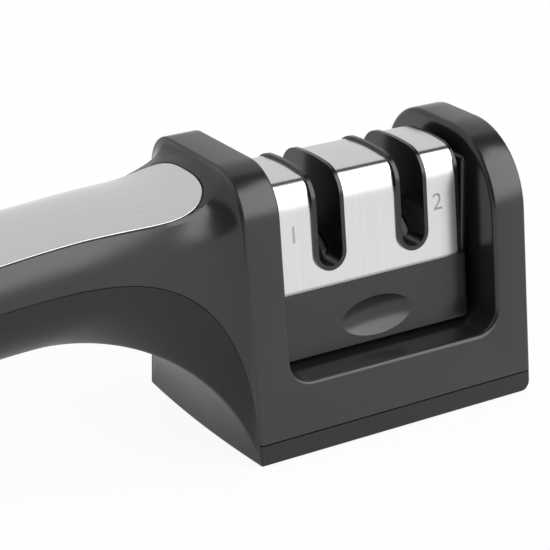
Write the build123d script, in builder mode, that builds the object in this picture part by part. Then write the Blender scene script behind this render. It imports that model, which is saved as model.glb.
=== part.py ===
from build123d import *
from math import cos, pi, radians, sin, sqrt, tan
import os

os.makedirs("parts", exist_ok=True)

# Two stage pull-through knife sharpener. Millimetres, +Z up, origin in the middle of the
# frame's underside, handle towards -X. A knife is pulled through the slots along Y.

# Frame: a U of two uprights and a rail, seen from the front
frame_width = 80.0
base_depth = 57.4
side_draft = 5.2
left_top = 72.0
right_top = 68.1
left_shoulder_radius = 13.0
right_shoulder_radius = 16.5
rail_top = 18.7
left_post = 9.8
right_post = 8.2
opening_corner = 6.0
opening_edge_round = 0.8
outer_edge_round = 1.4
shell_wall = 2.2
strip_height = 5.75
pad_proud = 0.5

# Handle: its top under the left upright's, its depth, and how its sides step in and taper
handle_length = 135.0
handle_top_step = 8.6
handle_height = 31.4
handle_drop = 12.0
handle_drop_start = 10.0
handle_drop_run = 115.0
waist_depth = 11.6
waist_drop = 9.0
waist_drop_start = 30.0
waist_drop_run = 105.0
handle_side_step = 10.1
handle_taper = 2.6
inlay_edge_step = 1.8
inlay_edge_taper = 1.6
inlay_edge_run = 30.0
handle_crown = 1.2
end_round = 17.0

# Flare: how far the frame's form takes to die away into the handle
flare_top = 17.0
flare_side = 27.0
flare_bottom = 48.0
side_swell = 2.2
seam_step = 0.05

# Parting of the casings near the frame, as shares of the flare's length and the waist's height
parting_shares = [
    (1.0, 0.996), (0.735, 0.99), (0.525, 0.965), (0.42, 0.935), (0.32, 0.89), (0.22, 0.82),
    (0.15, 0.745), (0.083, 0.643), (0.032, 0.471), (0.01, 0.29),
]

# Steel inlay on the handle
inlay_sheet = 0.9
inlay_gap = 0.15
inlay_side_inset = 0.3
inlay_front = 4.0
inlay_front_round = 10.0
inlay_rear = 9.0
inlay_rear_round = 14.0

# Guides in the frame that hold the cartridge, and the step that it stands on
guide_reach = 2.6
guide_depth = 24.0
guide_top = 61.0
tongue_reach = 1.2
tongue_width = 4.0
step_height = 1.6
step_end_gap = 6.4
step_depth = 22.0

# Cartridge: a steel cover over a black housing, on a black base
base_end_clearance = 0.4
base_top = 37.0
base_ledge = 0.9
base_floor = 2.2
base_end_wall = 3.0
base_side_wall = 2.9
base_corner = 1.5
cover_inset = 2.4
cover_half_depth = 15.0
cover_top = 64.9
cover_crown = 1.3
cover_shoulder = 7.0
cover_sheet = 0.8
cover_fit = 0.1
cheek = 1.0
housing_wall = 1.8
groove_side_clearance = 0.4
groove_end_clearance = 0.5
dimple_length = 20.5
dimple_height = 10.0
dimple_depth = 1.6
dimple_centre = 27.2

# Knife slots and their guides
slot_pitch_share = 0.4746
slot_clear = 6.8
slot_floor = 41.7
guide_wall = 0.65
slot_fit = 0.1
lip_width = 9.0
lip_proud = 0.7

# Sharpening wheels and their axles
wheel_radius = 10.0
groove_radius = 5.5
wheel_thickness = 3.0
groove_half_angle = 19.5
hub_gap = 0.1
wheel_clearance = 0.4
face_recess = 0.5
face_recess_inner = 3.6
face_recess_outer = 8.2
axle_diameter = 3.0
axle_fit = 0.08
axle_end = 0.8
axle_chamfer = 0.3
spacer_thickness = 1.2
spacer_diameter = 6.0
spacer_clearance = 0.25
web_thickness = 2.0
saddle_half_depth = 5.0

# Screws and the bosses that hold them
screw_shank = 2.6
screw_head = 5.2
screw_head_height = 2.0
screw_tip = 1.2
cross_width = 0.7
cross_length = 3.0
cross_depth = 0.9
screw_fit = 0.05
head_fit = 0.3
boss_diameter = 6.4
collar_diameter = 8.4
base_screw_length = 10.0
base_screw_inset_x = 10.0
base_screw_inset_y = 9.5
base_collar_height = 6.5
handle_screw_length = 10.0
handle_screw_cover = 2.0
handle_collar_height = 13.5
handle_screw_shares = (0.40, 0.80)
cartridge_screw_length = 20.0
cartridge_screw_edge = 3.0
cartridge_screw_offset = 8.5
post_height = 12.0

# Non-slip pad under the base
pad_thickness = 1.2
pad_margin = 5.0
pad_corner = 6.0
pad_gap = 0.2

# Overrun of every cut
over = 2.0

left_face = -frame_width / 2
right_face = frame_width / 2
half_depth = base_depth / 2
slope = tan(radians(side_draft))
opening_left = left_face + left_post
opening_right = right_face - right_post
opening_width = opening_right - opening_left
opening_offset = (opening_left + opening_right) / 2
handle_top_edge = left_top - handle_top_step
handle_bottom = handle_top_edge - handle_height
handle_waist = handle_top_edge - waist_depth
handle_half_width = half_depth - handle_side_step
inlay_edge = handle_half_width - inlay_edge_step
step_top = rail_top + step_height
step_length = opening_width - 2 * (guide_reach + step_end_gap)
base_width = opening_width - 2 * (guide_reach + base_end_clearance)
cover_width = base_width - 2 * cover_inset
cartridge_screw_reach = cover_width / 2 - cartridge_screw_edge
slot_pitch = slot_pitch_share * cover_width
wheel_z = base_top
slot_centres = (opening_offset - slot_pitch / 2, opening_offset + slot_pitch / 2)
handle_screw_places = [share * handle_length for share in handle_screw_shares]
stack_half = hub_gap / 2 + wheel_thickness + spacer_thickness
web_inner = stack_half + spacer_clearance


def flare(reach, run):
    """Share of the frame's form that is left at a distance from it, a quarter ellipse."""
    share = min(max(reach / run, 0.0), 1.0)
    return 1 - sqrt(1 - (1 - share) ** 2)


def settle(reach, start, run):
    """Square of the share of a run that a distance has covered."""
    return max((reach - start) / run, 0.0) ** 2


def round_off(reach, start, radius):
    """Share of the width that is left inside a rounded end."""
    share = min(max((reach - start) / radius, 0.0), 1.0)
    return sqrt(1 - share ** 2)


def top_height(reach):
    """Height of the handle's upper edges at a distance from the frame."""
    return handle_top_edge - handle_drop * settle(reach, handle_drop_start, handle_drop_run)


def waist_height(reach):
    """Height at which the handle is widest."""
    return handle_waist - waist_drop * settle(reach, waist_drop_start, waist_drop_run)


def edge_width(reach):
    """Half width of the handle's top, where the inlay lies."""
    near = inlay_edge_taper * min(reach / inlay_edge_run, 1.0)
    return inlay_edge - near - handle_taper * settle(reach, 0.0, handle_length)


def frame_outline():
    """Half of the frame's left side view: top, shoulder, sloping face and underside."""
    lean = radians(side_draft)
    turn = pi / 2 - lean
    radius = left_shoulder_radius
    centre_y = half_depth - slope * (left_top - pad_proud) - radius * tan(turn / 2)
    centre_z = left_top - radius
    shoulder = [
        (centre_y + radius * sin(turn * share), centre_z + radius * cos(turn * share))
        for share in (0, 1 / 3, 2 / 3, 1)
    ]
    middle = (shoulder[-1][1] + handle_bottom) / 2
    heights = (middle, handle_bottom, handle_bottom * 2 / 3, handle_bottom / 3, pad_proud)
    face = [(half_depth - slope * (z - pad_proud), z) for z in heights]
    return [(0, left_top)] + shoulder + face + [(half_depth / 2, pad_proud), (0, pad_proud)]


def handle_outline(reach):
    """Half of the handle's own section: crown, upper side, lower side and underside."""
    top = top_height(reach)
    waist = waist_height(reach)
    wide = handle_half_width - handle_taper * settle(reach, 0.0, handle_length)
    edge = edge_width(reach)
    upper = [
        (edge + (wide - edge) * sin(turn), waist + (top - waist) * cos(turn))
        for turn in (0, pi / 8, pi / 4, 3 * pi / 8, pi / 2)
    ]
    lower = [
        (wide * cos(turn) ** 0.9, waist - (waist - handle_bottom) * sin(turn) ** 0.9)
        for turn in (pi / 11, 2 * pi / 11, 3 * pi / 11, 4 * pi / 11, 19 * pi / 44)
    ]
    points = [(0, top + handle_crown)] + upper + lower + [(0, handle_bottom)]
    left = round_off(reach, handle_length - end_round, end_round)
    middle = (top + handle_bottom) / 2
    return [(y * left, middle + (z - middle) * left) for y, z in points]


def body_outline(reach):
    """Half of the section where the frame's side view blends into the handle's section."""
    frame_points = frame_outline()
    handle_points = handle_outline(reach)
    side_shares = (0, 0, 0.25, 0.5, 0.75, 1)
    bottom_shares = (0.3, 0.55, 0.8, 1, 1, 1)
    runs = [flare_top + (flare_side - flare_top) * share for share in side_shares]
    runs += [flare_side + (flare_bottom - flare_side) * share for share in bottom_shares]
    blended = []
    for index, run in enumerate(runs):
        frame_y, frame_z = frame_points[index]
        handle_y, handle_z = handle_points[index]
        left = flare(reach, run)
        blended.append(
            (handle_y + (frame_y - handle_y) * left, handle_z + (frame_z - handle_z) * left)
        )
    return blended


def draw_in(points, amount):
    """A half outline drawn in towards its middle, by an amount on every side."""
    wide = max(y for y, z in points)
    low = min(z for y, z in points)
    high = max(z for y, z in points)
    middle = (low + high) / 2
    half = (high - low) / 2
    return [
        (y * (wide - amount) / wide, middle + (z - middle) * (half - amount) / half)
        for y, z in points
    ]


def handle_form(inset, last_share, straight):
    """Solid of the flare and the handle, drawn in by an amount, smooth or straight between."""
    near_shares = (0.0, 0.006, 0.015, 0.03, 0.05, 0.075, 0.11, 0.155, 0.21, 0.28, 0.36)
    far_shares = (0.5, 0.65, 0.8, 0.88, 0.93, 0.965, 0.985)
    shares = [share for share in near_shares + far_shares if share < last_share]
    shares.append(last_share)
    with BuildPart() as form:
        for share in shares:
            reach = share * handle_length
            outline = draw_in(body_outline(reach), inset)
            upper = outline[1:10]
            under = outline[9:]
            with BuildSketch(Plane.YZ.offset(left_face + inset - reach)):
                with BuildLine():
                    Spline((-upper[0][0], upper[0][1]), outline[0], upper[0])
                    Spline(*upper)
                    Spline(*[(-y, z) for y, z in upper])
                    Spline(*under, *[(-y, z) for y, z in reversed(under[:-1])])
                make_face()
        loft(ruled=straight)
    return form.part


def side_view(place, top, shoulder, inset):
    """Sketch of an upright's side view: two sloping faces and a rounded top."""
    foot = pad_proud + inset
    head = top - inset
    wide = half_depth - inset - slope * inset
    narrow = half_depth - inset - slope * (head - pad_proud)
    with BuildSketch(Plane.YZ.offset(place)) as view:
        with BuildLine():
            Polyline((-wide, foot), (wide, foot), (narrow, head), (-narrow, head), close=True)
        make_face()
        fillet(view.vertices().group_by(Axis.Y)[-1], shoulder - inset)
    return view.sketch


def frame_block(inset):
    """Solid U of the frame, drawn in by an amount on every side."""
    with BuildPart() as block:
        add(side_view(left_face + inset, left_top, left_shoulder_radius, inset))
        extrude(amount=opening_offset - left_face - inset, dir=(1, 0, 0))
        add(side_view(opening_offset, right_top, right_shoulder_radius, inset))
        extrude(amount=right_face - opening_offset - inset, dir=(1, 0, 0))
        with BuildSketch(Plane.XZ) as mouth:
            with Locations((opening_offset, left_top)):
                Rectangle(opening_width + 2 * inset, 2 * (left_top - rail_top + inset))
            fillet(mouth.vertices().group_by(Axis.Y)[0], opening_corner + inset)
        extrude(amount=half_depth + over, both=True, mode=Mode.SUBTRACT)
    return block.part


def inlay_prism(gap):
    """Upright prism over the inlay's outline, grown by a gap."""
    first = inlay_front - gap
    last = handle_length - inlay_rear + gap
    turns = (0, 0.25, 0.5, 0.75, 1)
    places = [first + inlay_front_round * (1 - cos(pi / 2 * turn)) for turn in turns]
    places += [first + (last - first) * share for share in (0.25, 0.45, 0.65)]
    places += [last - inlay_rear_round * (1 - cos(pi / 2 * turn)) for turn in reversed(turns)]
    side = []
    for reach in places:
        half = edge_width(reach) - inlay_side_inset + gap
        half *= round_off(-reach, -first - inlay_front_round, inlay_front_round)
        half *= round_off(reach, last - inlay_rear_round, inlay_rear_round)
        side.append((left_face - reach, half))
    mirrored = [(x, -y) for x, y in reversed(side[1:-1])]
    with BuildPart() as prism:
        with BuildSketch(Plane.XY.offset(handle_waist - waist_drop)):
            with BuildLine():
                Spline(*side, *mirrored, periodic=True)
            make_face()
        extrude(amount=left_top)
    return prism.part


def cover_view(place, grow):
    """Sketch of the cover's side view, grown by an amount: sloping sides, crowned top."""
    foot = base_top - over
    corner = cover_top - cover_crown + grow
    wide = cover_half_depth + grow + slope * over
    narrow = cover_half_depth + grow - slope * (corner - base_top)
    with BuildSketch(Plane.YZ.offset(place)) as view:
        with BuildLine():
            Polyline((-narrow, corner), (-wide, foot), (wide, foot), (narrow, corner))
            ThreePointArc((-narrow, corner), (0, cover_top + grow), (narrow, corner))
        make_face()
        corners = view.vertices().group_by(Axis.Y)[-1]
        fillet(corners, cover_shoulder + grow)
    return view.sketch


def slot_prism(centre, width, reach):
    """Prism of a U slot that is open at the top, along Y."""
    arc_z = slot_floor + slot_clear / 2
    rise = cover_top + lip_proud + over - arc_z
    with BuildPart() as prism:
        with BuildSketch(Plane.XZ):
            with Locations((centre, arc_z)):
                Circle(width / 2)
            with Locations((centre, arc_z + rise / 2)):
                Rectangle(width, rise)
        extrude(amount=reach, both=True)
    return prism.part


def screw(length):
    """Self-tapping screw standing on its head: cross slotted head, shank and point."""
    with BuildPart() as fastener:
        with BuildSketch(Plane.XZ):
            with BuildLine():
                Polyline(
                    (0, 0), (screw_head / 2, 0), (screw_head / 2, screw_head_height),
                    (screw_shank / 2, screw_head_height),
                    (screw_shank / 2, screw_head_height + length - screw_tip),
                    (0, screw_head_height + length), close=True,
                )
            make_face()
        revolve(axis=Axis.Z)
        with BuildSketch(Plane.XY):
            Rectangle(cross_length, cross_width)
            Rectangle(cross_width, cross_length)
        extrude(amount=cross_depth, mode=Mode.SUBTRACT)
    return fastener.part


# Seat of the handle's screws: their points end under the inlay where it is lowest
screw_point = min(top_height(reach) for reach in handle_screw_places)
screw_point += handle_crown - inlay_sheet - handle_screw_cover
handle_screw_seat = screw_point - handle_screw_length - screw_head_height

# Solids that the casings are cut from
hollow_share = 1 - end_round / handle_length
end_share = 0.996
with BuildPart() as outer_block:
    add(frame_block(0.0))
    low_seams = outer_block.edges().filter_by(Axis.Y).filter_by_position(
        Axis.Z, pad_proud, rail_top + opening_corner + over
    )
    inner_edges = outer_block.edges().filter_by_position(
        Axis.X, opening_left - seam_step, opening_right + seam_step
    ).filter_by_position(Axis.Z, rail_top - seam_step, left_top + seam_step)
    fillet(inner_edges - low_seams, opening_edge_round)
    right_edges = outer_block.faces().sort_by(Axis.X)[-1].edges()
    fillet(right_edges.group_by(Axis.Z)[1:], outer_edge_round)

# Bulge of the frame's left face
with BuildPart() as left_bulge:
    add(side_view(left_face - side_swell, left_top, left_shoulder_radius, 0.0))
    extrude(amount=side_swell + over, dir=(1, 0, 0))
    with BuildSketch(Plane.XY):
        with BuildLine():
            ThreePointArc(
                (left_face, -half_depth), (left_face - side_swell, 0), (left_face, half_depth)
            )
            Polyline(
                (left_face, half_depth), (left_face + over, half_depth),
                (left_face + over, -half_depth), (left_face, -half_depth),
            )
        make_face()
    extrude(amount=left_top + over, mode=Mode.INTERSECT)

with BuildPart() as outer_body:
    add(handle_form(seam_step, end_share, False))
    add(left_bulge.part)
    add(outer_block.part)

with BuildPart() as inner_body:
    add(handle_form(shell_wall, hollow_share, True))
    add(frame_block(shell_wall))

# Everything under the parting line
with BuildPart() as lower_space:
    far_shares = (1.05, 0.8, 0.6)
    far_points = [
        (left_face - share * handle_length, waist_height(share * handle_length))
        for share in far_shares
    ]
    near_points = [
        (left_face - across * flare_bottom, up * handle_waist) for across, up in parting_shares
    ]
    with BuildSketch(Plane.XZ):
        with BuildLine():
            Spline(*far_points, *near_points, (left_face, strip_height))
            Polyline(
                (left_face, strip_height), (right_face + over, strip_height),
                (right_face + over, -over), (far_points[0][0], -over), far_points[0],
            )
        make_face()
    extrude(amount=half_depth + over, both=True)

# Steel inlay on the handle, and the recess that it lies in
inlay_floor = handle_form(inlay_sheet, end_share, False)
with BuildPart() as handle_inlay:
    add(handle_form(seam_step, end_share, False))
    add(inlay_prism(0.0), mode=Mode.INTERSECT)
    add(inlay_floor, mode=Mode.SUBTRACT)
with BuildPart() as inlay_recess:
    add(inlay_prism(inlay_gap))
    add(inlay_floor, mode=Mode.SUBTRACT)

# Upper casing: shell, guides and step for the cartridge, bosses for the screws
base_screw_places = GridLocations(
    frame_width - 2 * base_screw_inset_x, base_depth - 2 * base_screw_inset_y, 2, 2
)
rail_underside = rail_top - shell_wall / 2
with BuildPart() as upper_shell:
    add(outer_body.part)
    add(inner_body.part, mode=Mode.SUBTRACT)
    with BuildSketch(Plane.XY.offset(base_collar_height)):
        with base_screw_places:
            Circle(boss_diameter / 2)
    extrude(amount=rail_underside - base_collar_height)
    for reach in handle_screw_places:
        foot = handle_bottom + handle_collar_height
        with BuildSketch(Plane.XY.offset(foot)):
            with Locations((left_face - reach, 0)):
                Circle(boss_diameter / 2)
        extrude(amount=top_height(reach) + handle_crown - shell_wall / 2 - inlay_sheet - foot)
    add(lower_space.part, mode=Mode.SUBTRACT)
    add(inlay_recess.part, mode=Mode.SUBTRACT)
    for wall, inward in ((opening_left, 1), (opening_right, -1)):
        middle = wall + inward * (guide_reach - shell_wall / 2) / 2
        with BuildSketch(Plane.XY.offset(rail_underside)):
            with Locations((middle, 0)):
                Rectangle(guide_reach + shell_wall / 2, guide_depth)
            with Locations((wall + inward * (guide_reach + tongue_reach) / 2, 0)):
                Rectangle(guide_reach + tongue_reach, tongue_width)
        extrude(amount=guide_top - rail_underside)
    with BuildSketch(Plane.XY.offset(rail_underside)):
        with Locations((opening_offset, 0)):
            Rectangle(step_length, step_depth)
    extrude(amount=step_top - rail_underside)
    with BuildSketch(Plane.XY.offset(-over)):
        with base_screw_places:
            Circle(screw_shank / 2 + screw_fit)
    extrude(
        amount=over + pad_thickness + screw_head_height + base_screw_length + head_fit,
        mode=Mode.SUBTRACT,
    )
    for reach in handle_screw_places:
        with BuildSketch(Plane.XY.offset(handle_bottom)):
            with Locations((left_face - reach, 0)):
                Circle(screw_shank / 2 + screw_fit)
        extrude(
            amount=screw_point + head_fit - handle_bottom,
            mode=Mode.SUBTRACT,
        )
upper_shell.part.label = "upper_shell"
export_step(upper_shell.part, "parts/upper_shell.step")

# Lower casing: base strip, flare and grip, collars round the screws, recess for the pad
pad_length = frame_width - 2 * pad_margin
pad_depth = base_depth - 2 * pad_margin
with BuildPart() as lower_shell:
    add(outer_body.part)
    add(inner_body.part, mode=Mode.SUBTRACT)
    with BuildSketch(Plane.XY.offset(pad_proud)):
        with base_screw_places:
            Circle(collar_diameter / 2)
    extrude(amount=base_collar_height - pad_proud)
    for reach in handle_screw_places:
        with BuildSketch(Plane.XY.offset(handle_bottom + shell_wall / 2)):
            with Locations((left_face - reach, 0)):
                Circle(collar_diameter / 2)
        extrude(amount=handle_collar_height - shell_wall / 2)
    add(lower_space.part, mode=Mode.INTERSECT)
    with BuildSketch(Plane.XY):
        RectangleRounded(pad_length, pad_depth, pad_corner)
    extrude(amount=pad_thickness, mode=Mode.SUBTRACT)
    with BuildSketch(Plane.XY):
        with base_screw_places:
            Circle(screw_head / 2 + head_fit)
    extrude(amount=pad_thickness + screw_head_height, mode=Mode.SUBTRACT)
    with BuildSketch(Plane.XY):
        with base_screw_places:
            Circle(screw_shank / 2 + screw_fit)
    extrude(amount=base_collar_height + over, mode=Mode.SUBTRACT)
    for reach in handle_screw_places:
        head_top = handle_screw_seat + screw_head_height
        with BuildSketch(Plane.XY.offset(pad_thickness)):
            with Locations((left_face - reach, 0)):
                Circle(screw_head / 2 + head_fit)
        extrude(amount=head_top - pad_thickness, mode=Mode.SUBTRACT)
        with BuildSketch(Plane.XY.offset(pad_thickness)):
            with Locations((left_face - reach, 0)):
                Circle(screw_shank / 2 + screw_fit)
        extrude(amount=handle_top_edge, mode=Mode.SUBTRACT)
lower_shell.part.label = "lower_shell"
export_step(lower_shell.part, "parts/lower_shell.step")

handle_inlay.part.label = "handle_inlay"
export_step(handle_inlay.part, "parts/handle_inlay.step")

# Rubber pad that the frame stands on
with BuildPart() as base_pad:
    with BuildSketch(Plane.XY):
        RectangleRounded(pad_length - 2 * pad_gap, pad_depth - 2 * pad_gap, pad_corner - pad_gap)
    extrude(amount=pad_thickness)
base_pad.part.label = "base_pad"
export_step(base_pad.part, "parts/base_pad.step")

# Screws that hold the casings together
with BuildPart() as base_screws:
    base_screw = screw(base_screw_length)
    with Locations(Plane.XY.offset(pad_thickness)):
        with GridLocations(
            frame_width - 2 * base_screw_inset_x, base_depth - 2 * base_screw_inset_y, 2, 2
        ):
            add(base_screw)
base_screws.part.label = "base_screws"
export_step(base_screws.part, "parts/base_screws.step")

with BuildPart() as handle_screws:
    handle_screw = screw(handle_screw_length)
    for reach in handle_screw_places:
        with Locations((left_face - reach, 0, handle_screw_seat)):
            add(handle_screw)
handle_screws.part.label = "handle_screws"
export_step(handle_screws.part, "parts/handle_screws.step")

# Cartridge housing: cheeks, hollow body, webs that carry the axles, posts for the screws
cover_left = opening_offset - cover_width / 2
cover_right = opening_offset + cover_width / 2
body_grow = -cover_sheet - cover_fit
hollow_grow = body_grow - housing_wall
post_places = [
    (opening_offset - cartridge_screw_reach, 0), (opening_offset + cartridge_screw_reach, 0),
    (opening_offset, -cartridge_screw_offset), (opening_offset, cartridge_screw_offset),
]
trough_width = slot_clear + 2 * guide_wall
slot_reach = cover_half_depth + lip_proud + over
web_places = [
    centre + side * (web_inner + web_thickness / 2) for centre in slot_centres for side in (-1, 1)
]
with BuildPart() as cartridge_housing:
    add(cover_view(cover_left, body_grow))
    extrude(amount=cover_width, dir=(1, 0, 0))
    add(cover_view(cover_left + housing_wall, hollow_grow))
    extrude(amount=cover_width - 2 * housing_wall, dir=(1, 0, 0), mode=Mode.SUBTRACT)
    for place in (cover_left - cheek, cover_right):
        add(cover_view(place, 0.0))
        extrude(amount=cheek, dir=(1, 0, 0))
    for place in web_places:
        add(cover_view(place - web_thickness / 2, body_grow))
        extrude(amount=web_thickness, dir=(1, 0, 0))
    with BuildSketch(Plane.XY.offset(base_top)):
        with Locations(*post_places):
            Circle(boss_diameter / 2)
    extrude(amount=post_height)
    split(bisect_by=Plane.XY.offset(base_top), keep=Keep.TOP)
    for centre in slot_centres:
        add(slot_prism(centre, trough_width + 2 * slot_fit, slot_reach), mode=Mode.SUBTRACT)
    with BuildSketch(Plane.YZ.offset(cover_left + housing_wall)):
        with Locations((0, wheel_z)):
            Circle(axle_diameter / 2 + axle_fit)
    extrude(amount=cover_width - 2 * housing_wall, dir=(1, 0, 0), mode=Mode.SUBTRACT)
    with BuildSketch(Plane.XY.offset(base_top - over)):
        with Locations(*post_places):
            Circle(screw_shank / 2 + screw_fit)
    extrude(amount=post_height, mode=Mode.SUBTRACT)
cartridge_housing.part.label = "cartridge_housing"
export_step(cartridge_housing.part, "parts/cartridge_housing.step")

# Steel cover, folded over the housing
with BuildPart() as steel_cover:
    add(cover_view(cover_left, 0.0))
    extrude(amount=cover_width, dir=(1, 0, 0))
    add(cover_view(cover_left - over, -cover_sheet))
    extrude(amount=cover_width + 2 * over, dir=(1, 0, 0), mode=Mode.SUBTRACT)
    split(bisect_by=Plane.XY.offset(base_top), keep=Keep.TOP)
    for centre in slot_centres:
        add(slot_prism(centre, trough_width + 2 * slot_fit, slot_reach), mode=Mode.SUBTRACT)
steel_cover.part.label = "steel_cover"
export_step(steel_cover.part, "parts/steel_cover.step")

# Guides that line the slots: a trough under a proud lip, open where the wheels rise
for name, centre in zip(("coarse_slot_guide", "fine_slot_guide"), slot_centres):
    with BuildPart() as lip:
        add(cover_view(cover_left, lip_proud))
        extrude(amount=cover_width, dir=(1, 0, 0))
        add(cover_view(cover_left, 0.0))
        extrude(amount=cover_width, dir=(1, 0, 0), mode=Mode.SUBTRACT)
        add(slot_prism(centre, lip_width, slot_reach), mode=Mode.INTERSECT)
    with BuildPart() as slot_guide:
        add(cover_view(cover_left, lip_proud))
        extrude(amount=cover_width, dir=(1, 0, 0))
        add(slot_prism(centre, trough_width, slot_reach), mode=Mode.INTERSECT)
        add(lip.part)
        add(slot_prism(centre, slot_clear, slot_reach), mode=Mode.SUBTRACT)
        with BuildSketch(Plane.YZ.offset(centre - slot_clear / 2)):
            with Locations((0, wheel_z)):
                Circle(wheel_radius + wheel_clearance)
        extrude(amount=slot_clear, dir=(1, 0, 0), mode=Mode.SUBTRACT)
    slot_guide.part.label = name
    export_step(slot_guide.part, f"parts/{name}.step")

# Cartridge base: hollow block with a dimple on each side, grooves for the frame's tongues
base_left = opening_offset - base_width / 2
base_height = base_top - step_top
base_half_top = cover_half_depth + base_ledge
base_half_foot = base_half_top + slope * base_height
with BuildPart() as dimple:
    ring = (dimple_height ** 2 / 4 + dimple_depth ** 2) / (2 * dimple_depth)
    bow = (dimple_length ** 2 / 4 + dimple_depth ** 2) / (2 * dimple_depth)
    half = dimple_length / 2 + over
    sag = bow - sqrt(bow ** 2 - half ** 2)
    with BuildSketch(Plane.XZ):
        with BuildLine():
            ThreePointArc((-half, ring - sag), (0, ring), (half, ring - sag))
            Polyline((half, ring - sag), (half, 0), (-half, 0), (-half, ring - sag))
        make_face()
    revolve(axis=Axis.X)
with BuildPart() as cartridge_base:
    with BuildSketch(Plane.YZ.offset(base_left)):
        with BuildLine():
            Polyline(
                (-base_half_foot, step_top), (base_half_foot, step_top),
                (base_half_top, base_top), (-base_half_top, base_top), close=True,
            )
        make_face()
    extrude(amount=base_width, dir=(1, 0, 0))
    ends = cartridge_base.faces().sort_by(Axis.X)
    fillet((ends[0].edges() + ends[-1].edges()).filter_by_position(
        Axis.Z, step_top, base_top - over), base_corner)
    with BuildSketch(Plane.XY.offset(step_top + base_floor)):
        with Locations((opening_offset, 0)):
            Rectangle(base_width - 2 * base_end_wall, 2 * (base_half_top - base_side_wall))
    extrude(amount=base_height, mode=Mode.SUBTRACT)
    with BuildSketch(Plane.XY.offset(step_top)):
        with Locations(*post_places):
            Circle(boss_diameter / 2)
    extrude(amount=base_height)
    for place in web_places:
        with BuildSketch(Plane.XY.offset(step_top)):
            with Locations((place, 0)):
                Rectangle(web_thickness, 2 * saddle_half_depth)
        extrude(amount=base_height)
    with BuildSketch(Plane.YZ.offset(cover_left + housing_wall)):
        with Locations((0, wheel_z)):
            Circle(axle_diameter / 2 + axle_fit)
    extrude(amount=cover_width - 2 * housing_wall, dir=(1, 0, 0), mode=Mode.SUBTRACT)
    with BuildSketch(Plane.XY.offset(step_top)):
        with Locations(*post_places):
            Circle(screw_head / 2 + head_fit)
    extrude(amount=screw_head_height + over, mode=Mode.SUBTRACT)
    with BuildSketch(Plane.XY.offset(step_top)):
        with Locations(*post_places):
            Circle(screw_shank / 2 + screw_fit)
    extrude(amount=base_height, mode=Mode.SUBTRACT)
    for wall, inward in ((opening_left, 1), (opening_right, -1)):
        deep = guide_reach + tongue_reach + groove_end_clearance
        with BuildSketch(Plane.XY.offset(step_top)):
            with Locations((wall + inward * deep / 2, 0)):
                Rectangle(deep, tongue_width + 2 * groove_side_clearance)
        extrude(amount=base_height, mode=Mode.SUBTRACT)
    face_y = base_half_top + slope * (base_top - dimple_centre)
    for side in (-1, 1):
        with Locations((opening_offset, side * (face_y + ring - dimple_depth), dimple_centre)):
            add(dimple.part, mode=Mode.SUBTRACT)
cartridge_base.part.label = "cartridge_base"
export_step(cartridge_base.part, "parts/cartridge_base.step")

# Screws that hold the cartridge together, from below
with BuildPart() as cartridge_screws:
    cartridge_screw = screw(cartridge_screw_length)
    for x, y in post_places:
        with Locations((x, y, step_top + over)):
            add(cartridge_screw)
cartridge_screws.part.label = "cartridge_screws"
export_step(cartridge_screws.part, "parts/cartridge_screws.step")

# Wheels that form a V groove on their axle, and the spacers beside them
axle_radius = axle_diameter / 2
axle_length = 2 * (web_inner + web_thickness + axle_end)
for stage, centre in zip(("coarse", "fine"), slot_centres):
    hub = Axis((centre, 0, wheel_z), (1, 0, 0))
    with BuildPart() as axle:
        with BuildSketch(Plane.YZ.offset(centre - axle_length / 2)):
            with Locations((0, wheel_z)):
                Circle(axle_radius)
        extrude(amount=axle_length, dir=(1, 0, 0))
        chamfer(axle.edges().filter_by(GeomType.CIRCLE), axle_chamfer)
    axle.part.label = f"{stage}_axle"
    export_step(axle.part, f"parts/{stage}_axle.step")

    for side, word in ((-1, "left"), (1, "right")):
        inner = hub_gap / 2
        rim = inner + (wheel_radius - groove_radius) * tan(radians(groove_half_angle))
        outer = inner + wheel_thickness
        profile = [
            (inner, axle_radius), (inner, groove_radius), (rim, wheel_radius),
            (outer, wheel_radius), (outer, face_recess_outer),
            (outer - face_recess, face_recess_outer), (outer - face_recess, face_recess_inner),
            (outer, face_recess_inner), (outer, axle_radius),
        ]
        with BuildPart() as wheel:
            with BuildSketch(Plane.XZ):
                with BuildLine():
                    Polyline(
                        *[(centre + side * x, wheel_z + radius) for x, radius in profile],
                        close=True,
                    )
                make_face()
            revolve(axis=hub)
        wheel.part.label = f"{stage}_wheel_{word}"
        export_step(wheel.part, f"parts/{stage}_wheel_{word}.step")

    with BuildPart() as spacers:
        for side in (-1, 1):
            place = centre + side * (stack_half - spacer_thickness / 2)
            with BuildSketch(Plane.YZ.offset(place)):
                with Locations((0, wheel_z)):
                    Circle(spacer_diameter / 2)
                    Circle(axle_radius, mode=Mode.SUBTRACT)
            extrude(amount=spacer_thickness / 2, both=True)
    spacers.part.label = f"{stage}_spacers"
    export_step(spacers.part, f"parts/{stage}_spacers.step")
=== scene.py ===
import bpy, bmesh
from math import acos, cos, hypot, pi, radians, sin, sqrt, tan
from mathutils import Matrix, Vector
from mathutils.geometry import delaunay_2d_cdt


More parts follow.
